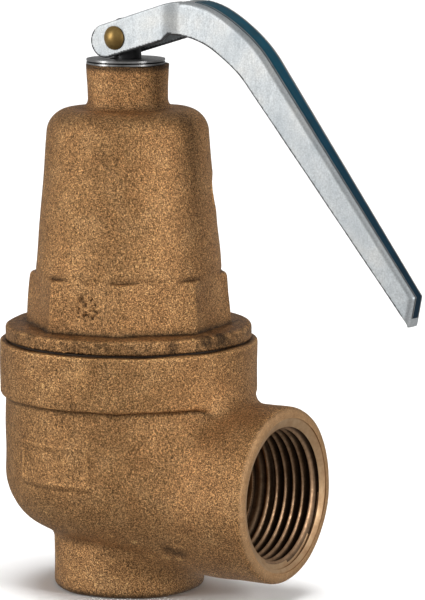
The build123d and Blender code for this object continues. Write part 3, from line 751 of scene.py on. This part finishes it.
class Nodes:
    """Short ways to add the texture nodes that the materials share."""

    def __init__(self, tree):
        self.tree = tree
        self.place = self.add("ShaderNodeTexCoord").outputs["Object"]

    def add(self, kind):
        return self.tree.nodes.new(kind)

    def link(self, a, b):
        self.tree.links.new(a, b)

    def stretched(self, scale, turn=(0, 0, 0)):
        node = self.add("ShaderNodeMapping")
        node.inputs["Scale"].default_value = scale
        node.inputs["Rotation"].default_value = [radians(t) for t in turn]
        self.link(self.place, node.inputs["Vector"])
        return node.outputs["Vector"]

    def noise(self, size_mm, detail=3.0, rough=0.55, vector=None, distortion=0.0):
        node = self.add("ShaderNodeTexNoise")
        node.inputs["Scale"].default_value = 1 / (size_mm * MM)
        node.inputs["Detail"].default_value = detail
        node.inputs["Roughness"].default_value = rough
        node.inputs["Distortion"].default_value = distortion
        self.link(vector or self.place, node.inputs["Vector"])
        return node.outputs["Fac"]

    def ramp(self, value, stops):
        node = self.add("ShaderNodeValToRGB")
        ramp = node.color_ramp
        while len(ramp.elements) < len(stops):
            ramp.elements.new(0.5)
        for element, (position, colour) in zip(ramp.elements, stops):
            element.position = position
            element.color = (*colour, 1) if len(colour) == 3 else colour
        self.link(value, node.inputs["Fac"])
        return node.outputs["Color"]

    def grey(self, value, stops):
        return self.ramp(value, [(p, (v, v, v)) for p, v in stops])

    def mix(self, share, a, b, blend="MIX"):
        node = self.add("ShaderNodeMix")
        node.data_type = "RGBA"
        node.blend_type = blend
        sockets = {s.identifier: s for s in node.inputs}
        for key, value in (("Factor_Float", share), ("A_Color", a), ("B_Color", b)):
            if isinstance(value, bpy.types.NodeSocket):
                self.link(value, sockets[key])
            else:
                sockets[key].default_value = value if key == "Factor_Float" else (*value, 1)
        return next(s for s in node.outputs if s.identifier == "Result_Color")

    def math(self, operation, a, b=0.0, clamp=False):
        node = self.add("ShaderNodeMath")
        node.operation = operation
        node.use_clamp = clamp
        for socket, value in zip(node.inputs, (a, b)):
            if isinstance(value, bpy.types.NodeSocket):
                self.link(value, socket)
            else:
                socket.default_value = value
        return node.outputs["Value"]

    def bump(self, height, depth_mm, strength=1.0, below=None):
        node = self.add("ShaderNodeBump")
        node.inputs["Strength"].default_value = strength
        node.inputs["Distance"].default_value = depth_mm * MM
        self.link(height, node.inputs["Height"])
        if below is not None:
            self.link(below, node.inputs["Normal"])
        return node.outputs["Normal"]

    def distance_from(self, point):
        node = self.add("ShaderNodeVectorMath")
        node.operation = "DISTANCE"
        node.inputs[1].default_value = [c * MM for c in point]
        self.link(self.place, node.inputs[0])
        return node.outputs["Value"]

    def occlusion_shade(self, reach_mm):
        """Ambient occlusion, dark where the surface is sheltered by what is close to it, used to paint
        shade into a colour.
        """
        node = self.add("ShaderNodeAmbientOcclusion")
        node.samples = 6
        node.inputs["Distance"].default_value = reach_mm * MM
        return node.outputs["AO"]

    def edges(self):
        """Pointiness, high on edges and low in corners."""
        return self.add("ShaderNodeNewGeometry").outputs["Pointiness"]

    def fade_in(self, value, start_mm, length_mm):
        """Zero up to a start, rising to one over a length."""
        past = self.math("SUBTRACT", value, start_mm * MM)
        return self.math("MULTIPLY", past, 1 / (length_mm * MM), True)

    def height(self):
        split = self.add("ShaderNodeSeparateXYZ")
        self.link(self.place, split.inputs["Vector"])
        return split.outputs["Z"]

    def radius_about_outlet(self):
        """Distance from the outlet's axis, and distance along it."""
        split = self.add("ShaderNodeSeparateXYZ")
        self.link(self.place, split.inputs["Vector"])
        up = self.math("SUBTRACT", split.outputs["Z"], OUTLET_Z * MM)
        across = split.outputs["Y"]
        square = self.math("ADD", self.math("MULTIPLY", up, up), self.math("MULTIPLY", across, across))
        return self.math("SQRT", square), split.outputs["X"]


BRONZE_TONES = [
    (0.30, (0.325, 0.170, 0.067)),
    (0.50, (0.402, 0.219, 0.089)),
    (0.72, (0.465, 0.266, 0.117)),
]


def cast_bronze(name, spot_marks, faced=False):
    """Sand-cast bronze: fine grain whose brightest specks are painted glints, bright edges that are partly
    wear and partly painted highlight, and painted shade in the corners and creases.
    """
    material, tree, shader = new_material(name, (0.36, 0.2, 0.1), 0.7, 0.5)
    n = Nodes(tree)
    grain = n.noise(0.24, 2, 0.85)
    crumb = n.noise(0.55, 3, 0.75)
    patch = n.noise(6, 5, 0.65, distortion=0.4)
    cloud = n.noise(34, 3, 0.5)
    tone = n.ramp(patch, BRONZE_TONES)
    warm = n.ramp(cloud, [(0.35, (0.88, 0.86, 0.82)), (0.65, (1.04, 1.0, 0.98))])
    colour = n.mix(1.0, tone, warm, "MULTIPLY")
    # Grain tone whose brightest specks are painted glints.
    grain_and_painted_glints = n.grey(grain, [(0.34, 0.10), (0.48, 0.84), (0.64, 2.6)])
    colour = n.mix(0.95, colour, grain_and_painted_glints, "MULTIPLY")
    colour = n.mix(0.85, colour, n.grey(crumb, [(0.34, 0.45), (0.50, 1.0), (0.66, 1.5)]), "MULTIPLY")
    # Painted highlight on convex edges, partly wear, and painted shade in concave creases.
    worn = n.grey(n.edges(), [(0.455, 0.32), (0.494, 1.0), (0.510, 1.0), (0.55, 1.5)])
    colour = n.mix(0.9, colour, worn, "MULTIPLY")
    # Painted shade: darker in creases and corners, from ambient occlusion.
    crease_shade = n.grey(n.occlusion_shade(3.2), [(0.35, 0.10), (0.66, 0.50), (0.90, 1.0)])
    colour = n.mix(0.85, colour, crease_shade, "MULTIPLY")
    colour = flange_blotches(n, colour)
    # Painted shade on the neck's top, under the cap washer.
    colour = neck_top_shade(n, colour, crumb)
    for spot_mark in spot_marks:
        colour = stain_and_highlight_spot(n, colour, *spot_mark)
    rough = n.grey(crumb, [(0.3, 0.60), (0.7, 0.42)])
    if faced:
        colour = tooled_rim(n, colour, crumb)
    n.link(colour, shader.inputs["Base Color"])
    n.link(rough, shader.inputs["Roughness"])
    lumps = n.bump(n.noise(2.4, 3, 0.6), 0.25, 0.6)
    sand = n.bump(n.math("ADD", grain, n.math("MULTIPLY", crumb, 1.2)), 0.13, 0.9, lumps)
    n.link(sand, shader.inputs["Normal"])
    return material


def flange_blotches(n, colour):
    """Uneven dirt on the bonnet's flange, which ends just above it."""
    under = n.math("SUBTRACT", (FLANGE_TOP_Z + 1.2) * MM, n.height())
    below_top = n.math("MULTIPLY", under, 1 / (1.0 * MM), True)
    on_flange = n.math("MULTIPLY", below_top, n.math("GREATER_THAN", n.height(), JOINT_Z * MM))
    blotch = n.grey(n.noise(1.5, 4, 0.7), [(0.40, 0.42), (0.52, 0.86), (0.7, 1.05)])
    blotched = n.mix(1.0, colour, blotch, "MULTIPLY")
    return n.mix(n.math("MULTIPLY", on_flange, 0.85), colour, blotched)


def neck_top_shade(n, colour, crumb):
    """Painted shade: ragged dark line on the neck's top, under the cap washer."""
    ragged = n.math("ADD", n.height(), n.math("MULTIPLY", crumb, 1.6 * MM))
    shade_share = n.fade_in(ragged, NECK_TOP_Z - 0.7, 0.9)
    return n.mix(1.0, colour, n.grey(shade_share, [(0.0, 1.0), (1.0, 0.22)]), "MULTIPLY")


def stain_and_highlight_spot(n, colour, point, size, strength):
    """Ragged spot about a point: a real stain, darker, below a strength of 1, and a painted highlight,
    paler, above it.
    """
    ragged = n.math("MULTIPLY", n.noise(3.0, 4, 0.7), size * 1.3 * MM)
    gap = n.math("ADD", n.distance_from(point), ragged)
    shade = n.grey(n.math("DIVIDE", gap, size * 1.5 * MM), [(0.55, strength), (1.0, 1.0)])
    return n.mix(1.0, colour, shade, "MULTIPLY")


def tooled_rim(n, colour, crumb):
    """Brighter metal where a cutter has faced the outlet."""
    _, ahead = n.radius_about_outlet()
    edge = n.math("ADD", ahead, n.math("MULTIPLY", crumb, 0.5 * MM))
    faced = n.fade_in(edge, OUTLET_X - 0.6, 0.6)
    tooled = n.ramp(n.noise(1.2, 4, 0.7), [(0.3, (0.42, 0.235, 0.105)), (0.7, (0.60, 0.37, 0.19))])
    return n.mix(n.math("MULTIPLY", faced, 0.8), colour, tooled)


def machined_bronze(name):
    """Turned bronze with fine rings about the outlet."""
    material, tree, shader = new_material(name, (0.62, 0.42, 0.22), 0.75, 0.45)
    n = Nodes(tree)
    radius, _ = n.radius_about_outlet()
    lines = n.math("SINE", n.math("MULTIPLY", radius, 2 * pi / (0.16 * MM)))
    patch = n.noise(2.5, 4, 0.6)
    tones = [(0.3, (0.44, 0.26, 0.135)), (0.55, (0.58, 0.375, 0.205)), (0.8, (0.68, 0.47, 0.275))]
    colour = n.ramp(patch, tones)
    n.link(colour, shader.inputs["Base Color"])
    n.link(n.grey(patch, [(0.3, 0.55), (0.7, 0.38)]), shader.inputs["Roughness"])
    n.link(n.bump(lines, 0.012, 0.6, n.bump(n.noise(0.4, 2), 0.02, 0.6)), shader.inputs["Normal"])
    return material


def threaded_bronze(name):
    """Cut threads, with painted highlights on their crests and painted shade in their roots."""
    material, tree, shader = new_material(name, (0.4, 0.26, 0.13), 0.75, 0.42)
    n = Nodes(tree)
    # Painted highlight on thread crests and painted shade in thread roots.
    crest_highlight_and_root_shade = n.grey(n.edges(), [(0.42, 0.05), (0.495, 0.5), (0.53, 1.35)])
    tone = n.ramp(n.noise(1.6, 4, 0.7), [(0.3, (0.20, 0.115, 0.060)), (0.7, (0.40, 0.25, 0.145))])
    n.link(n.mix(1.0, tone, crest_highlight_and_root_shade, "MULTIPLY"), shader.inputs["Base Color"])
    n.link(n.grey(n.noise(0.8, 3), [(0.3, 0.55), (0.7, 0.34)]), shader.inputs["Roughness"])
    n.link(n.bump(n.noise(0.35, 3, 0.7), 0.05, 0.7), shader.inputs["Normal"])
    return material


def galvanised(name):
    """Zinc-plated sheet: pale and finely scratched across its length, with painted shade along its cut
    edges and in its corners.
    """
    material, tree, shader = new_material(name, (0.62, 0.66, 0.68), 0.6, 0.42)
    n = Nodes(tree)
    scratch = n.noise(0.5, 4, 0.7, n.stretched((1.0, 1.0, 0.2), (0, 28, 0)))
    grain = n.noise(0.3, 2, 0.7)
    patch = n.noise(7, 4, 0.55)
    tones = [(0.3, (0.44, 0.475, 0.495)), (0.52, (0.53, 0.555, 0.565)), (0.75, (0.61, 0.61, 0.59))]
    tone = n.ramp(patch, tones)
    colour = n.mix(0.4, tone, n.grey(scratch, [(0.30, 0.80), (0.44, 0.98), (0.7, 1.05)]), "MULTIPLY")
    colour = n.mix(0.8, colour, n.grey(grain, [(0.3, 0.72), (0.7, 1.22)]), "MULTIPLY")
    # Painted shade along the sheet's sharp cut edges.
    colour = n.mix(0.9, colour, n.grey(n.edges(), [(0.53, 1.0), (0.62, 0.30)]), "MULTIPLY")
    # Painted shade in corners and gaps, from ambient occlusion.
    colour = n.mix(0.8, colour, n.grey(n.occlusion_shade(1.6), [(0.3, 0.35), (0.8, 1.0)]), "MULTIPLY")
    n.link(colour, shader.inputs["Base Color"])
    n.link(n.grey(scratch, [(0.3, 0.52), (0.7, 0.44)]), shader.inputs["Roughness"])
    n.link(n.bump(scratch, 0.006, 0.5, n.bump(grain, 0.02, 0.5)), shader.inputs["Normal"])
    return material


# Painted sheen: the blue film grows paler with height, towards the knee.
BLUE_SHEEN_START_Z = 70
BLUE_SHEEN_LENGTH = 65
BLUE_SHEEN_TONES = [(0.0, (0.002, 0.018, 0.036)), (0.55, (0.003, 0.040, 0.070)), (1.0, (0.006, 0.080, 0.125))]


def blue_paint(name):
    """Dark blue film with a painted sheen: paler towards the knee, where the web is seen at a grazing
    angle.
    """
    material, tree, shader = new_material(name, (0.012, 0.07, 0.10), 0.0, 0.4)
    shader.inputs["Specular IOR Level"].default_value = 0.14
    n = Nodes(tree)
    fade = n.ramp(n.fade_in(n.height(), BLUE_SHEEN_START_Z, BLUE_SHEEN_LENGTH), BLUE_SHEEN_TONES)
    tone = n.mix(1.0, fade, n.grey(n.noise(3, 4, 0.65), [(0.3, 0.7), (0.7, 1.3)]), "MULTIPLY")
    n.link(tone, shader.inputs["Base Color"])
    n.link(n.grey(n.noise(1.5, 4, 0.6), [(0.3, 0.32), (0.7, 0.5)]), shader.inputs["Roughness"])
    n.link(n.bump(n.noise(0.5, 3), 0.02, 0.5), shader.inputs["Normal"])
    return material


def plain_metal(name, dark, light, metallic, rough, grain_mm=0.5, depth_mm=0.02):
    """Machined or plated metal: two tones, fine grain, uneven gloss and painted shade in its gaps and
    corners.
    """
    material, tree, shader = new_material(name, light, metallic, sum(rough) / 2)
    n = Nodes(tree)
    patch = n.noise(2.2, 4, 0.6)
    tone = n.ramp(patch, [(0.3, dark), (0.7, light)])
    # Painted shade in gaps and corners, from ambient occlusion.
    tone = n.mix(0.9, tone, n.grey(n.occlusion_shade(0.9), [(0.35, 0.12), (0.8, 1.0)]), "MULTIPLY")
    n.link(tone, shader.inputs["Base Color"])
    n.link(n.grey(n.noise(1.0, 4, 0.6), [(0.3, rough[1]), (0.7, rough[0])]), shader.inputs["Roughness"])
    n.link(n.bump(n.noise(grain_mm, 3, 0.6), depth_mm, 0.6), shader.inputs["Normal"])
    return material


def rubber(name):
    """Dull black rubber."""
    material, tree, shader = new_material(name, (0.02, 0.02, 0.022), 0.0, 0.6)
    n = Nodes(tree)
    tone = n.ramp(n.noise(3, 3), [(0.3, (0.014, 0.014, 0.015)), (0.7, (0.032, 0.031, 0.03))])
    n.link(tone, shader.inputs["Base Color"])
    n.link(n.grey(n.noise(0.8, 3), [(0.3, 0.7), (0.7, 0.5)]), shader.inputs["Roughness"])
    n.link(n.bump(n.noise(0.5, 3), 0.02, 0.6), shader.inputs["Normal"])
    return material


def stage_material(name):
    """Pale, almost even floor."""
    material, tree, shader = new_material(name, (0.9, 0.9, 0.9), 0.0, 0.9)
    n = Nodes(tree)
    tone = n.grey(n.noise(400, 2), [(0.3, 0.88), (0.7, 0.92)])
    n.link(tone, shader.inputs["Base Color"])
    return material


def dress(piece, *materials):
    """Gives a piece these materials in its slots, leaving CAD meshes' face indices alone."""
    if not piece.material_slots:
        for material in materials:
            piece.data.materials.append(material)
        return
    for slot, material in zip(piece.material_slots, materials * len(piece.material_slots)):
        slot.link = "OBJECT"
        slot.material = material


def stand_in(piece, node, body):
    """A finished piece that takes a CAD node's place."""
    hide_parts(node)
    if body:
        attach(piece, body)


# Build. A spot is (point, size, strength): a real stain below a strength of 1 and a painted highlight
# above it.
body_stains_and_highlights = [
    ((21.0, -15.9, 13.2), 3.0, 0.35),
    ((23.8, -15.4, 12.7), 2.6, 0.40),
    # The next two are painted highlights, paler spots on the band's front.
    ((6.1, -28.5, 52.5), 4.5, 1.30),
    ((-1.0, -29.1, 50.0), 3.0, 1.20),
]
bonnet_stains = [
    ((27.3, -4.5, 59.3), 4.0, 0.30),
    ((26.1, -9.1, 59.4), 3.2, 0.35),
    ((22.5, -16.0, 59.2), 2.4, 0.5),
]
body_bronze = cast_bronze("sand_cast_body", body_stains_and_highlights, faced=True)
bonnet_bronze = cast_bronze("sand_cast_bonnet", bonnet_stains)
machined = machined_bronze("machined_face")
# Dark edge material: painted shade along the lever's lower cut edge, and the dark lines at the blue film's
# outer edges.
dark_edge = plain_metal("dark_edge_lines", (0.05, 0.052, 0.055), (0.16, 0.165, 0.17), 0.6, (0.4, 0.6))
threaded = threaded_bronze("cut_thread")
body, body_slots = make_body()
body.data.materials.clear()
dress(body, body_bronze, machined, threaded)
body.data.polygons.foreach_set("material_index", body_slots.astype(np.int32))
crisp(body, 38)
stand_in(body, "body_casting", "valve_body")

bonnet = make_bonnet()
dress(bonnet, bonnet_bronze)
crisp(bonnet, 60)
stand_in(bonnet, "bonnet_casting", "valve_body")

lever, lever_slots = make_lever()
# Slot 1 of the lever is painted shade along its lower cut edge.
dress(lever, galvanised("galvanised_sheet"), dark_edge)
lever.data.polygons.foreach_set("material_index", lever_slots.astype(np.int32))
stand_in(lever, "lever", "lever")
strip, strip_slots = make_strip()
bare_line = plain_metal("bare_line", (0.36, 0.35, 0.33), (0.62, 0.60, 0.56), 0.7, (0.35, 0.5))
dress(strip, blue_paint("blue_gloss_paint"), dark_edge, bare_line)
strip.data.polygons.foreach_set("material_index", strip_slots)
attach(strip, "lever")

brass = plain_metal("turned_brass", (0.26, 0.155, 0.045), (0.46, 0.30, 0.10), 0.8, (0.36, 0.55))
plated = plain_metal("plated_steel", (0.22, 0.215, 0.21), (0.46, 0.455, 0.45), 0.85, (0.25, 0.42))
dark_steel = plain_metal("dark_steel", (0.012, 0.012, 0.013), (0.045, 0.045, 0.048), 0.5, (0.35, 0.55))
wire_steel = plain_metal("spring_wire_steel", (0.16, 0.16, 0.17), (0.28, 0.28, 0.29), 0.85, (0.32, 0.5))
fibre = plain_metal("fibre", (0.05, 0.028, 0.014), (0.10, 0.058, 0.03), 0.0, (0.7, 0.9), 0.3, 0.05)
black_rubber = rubber("black_rubber")

spring = make_spring()
dress(spring, wire_steel)
stand_in(spring, "spring", None)
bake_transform(spring)

diaphragm = make_diaphragm()
dress(diaphragm, black_rubber)
stand_in(diaphragm, "diaphragm", None)
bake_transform(diaphragm)

finish_of = {
    "brass": brass,
    "fibre": fibre,
    "rubber": black_rubber,
    "spring_steel": wire_steel,
    "zinc_plated_steel": plated,
    "stem_steel": dark_steel,
    "galvanised_steel": plated,
    "cast_bronze": machined,
}
for part in frame["record"]["subparts"]:
    node = nodes[part["node"]]
    if not node.hide_render:
        dress(node, finish_of[part["material_slot"]])

# Stage
def make_floor():
    """Pale floor that catches the shadow but lights nothing."""
    corners = [(-1, -1), (1, -1), (1, 1), (-1, 1)]
    floor = mesh_object("floor", [(FLOOR_HALF * x, FLOOR_HALF * y, 0) for x, y in corners], [(0, 1, 2, 3)])
    dress(floor, stage_material("pale_floor"))
    floor.visible_diffuse = False
    floor.visible_glossy = False
    return floor


def make_world():
    """Even white surroundings."""
    world = bpy.data.worlds.new("studio")
    bpy.context.scene.world = world
    world.use_nodes = True
    background = world.node_tree.nodes["Background"]
    background.inputs["Color"].default_value = (1, 1, 1, 1)
    background.inputs["Strength"].default_value = WORLD_STRENGTH


def direction(azimuth_deg, elevation_deg):
    """Unit vector at an azimuth from +X towards +Y and an elevation."""
    a, e = radians(azimuth_deg), radians(elevation_deg)
    return Vector((cos(a) * cos(e), sin(a) * cos(e), sin(e)))


def soft_box(name, azimuth, elevation, distance, width, height, power):
    """Area light that looks at the middle of the object."""
    light = bpy.data.lights.new(name, "AREA")
    light.shape = "RECTANGLE"
    light.size = width
    light.size_y = height
    light.energy = power
    lamp = bpy.data.objects.new(name, light)
    bpy.context.scene.collection.objects.link(lamp)
    away = direction(azimuth, elevation)
    lamp.location = Vector(LIGHT_TARGET) + away * distance
    lamp.rotation_mode = "QUATERNION"
    lamp.rotation_quaternion = (-away).to_track_quat("-Z", "Y")


def light_floor(floor):
    """Wide sun that lights the floor alone."""
    light = bpy.data.lights.new("floor_light", "SUN")
    light.energy = FLOOR_SUN
    light.angle = radians(FLOOR_SUN_SPREAD_DEG)
    lamp = bpy.data.objects.new("floor_light", light)
    bpy.context.scene.collection.objects.link(lamp)
    floor_only = bpy.data.collections.new("floor_only")
    floor_only.objects.link(floor)
    lamp.light_linking.receiver_collection = floor_only


def make_camera():
    """Long lens, aimed beside the valve's axis so that the lever fits in the picture."""
    camera = bpy.data.objects.new("camera", bpy.data.cameras.new("camera"))
    bpy.context.scene.collection.objects.link(camera)
    camera.data.lens = CAMERA_LENS
    camera.data.sensor_width = CAMERA_SENSOR
    camera.data.clip_end = 50
    away = direction(CAMERA_AZIMUTH_DEG, CAMERA_ELEVATION_DEG)
    to_the_right = direction(CAMERA_AZIMUTH_DEG + 90, 0)
    axis_point = Vector((0, 0, CAMERA_TARGET_Z))
    camera.location = (axis_point + away * CAMERA_DISTANCE) * MM
    camera.rotation_mode = "QUATERNION"
    look = axis_point + to_the_right * CAMERA_SIDESTEP - camera.location / MM
    camera.rotation_quaternion = look.to_track_quat("-Z", "Y")
    bpy.context.scene.camera = camera
    bpy.context.scene.view_settings.view_transform = "Standard"


floor = make_floor()
make_world()
for box in SOFT_BOXES:
    soft_box(*box)
light_floor(floor)
make_camera()
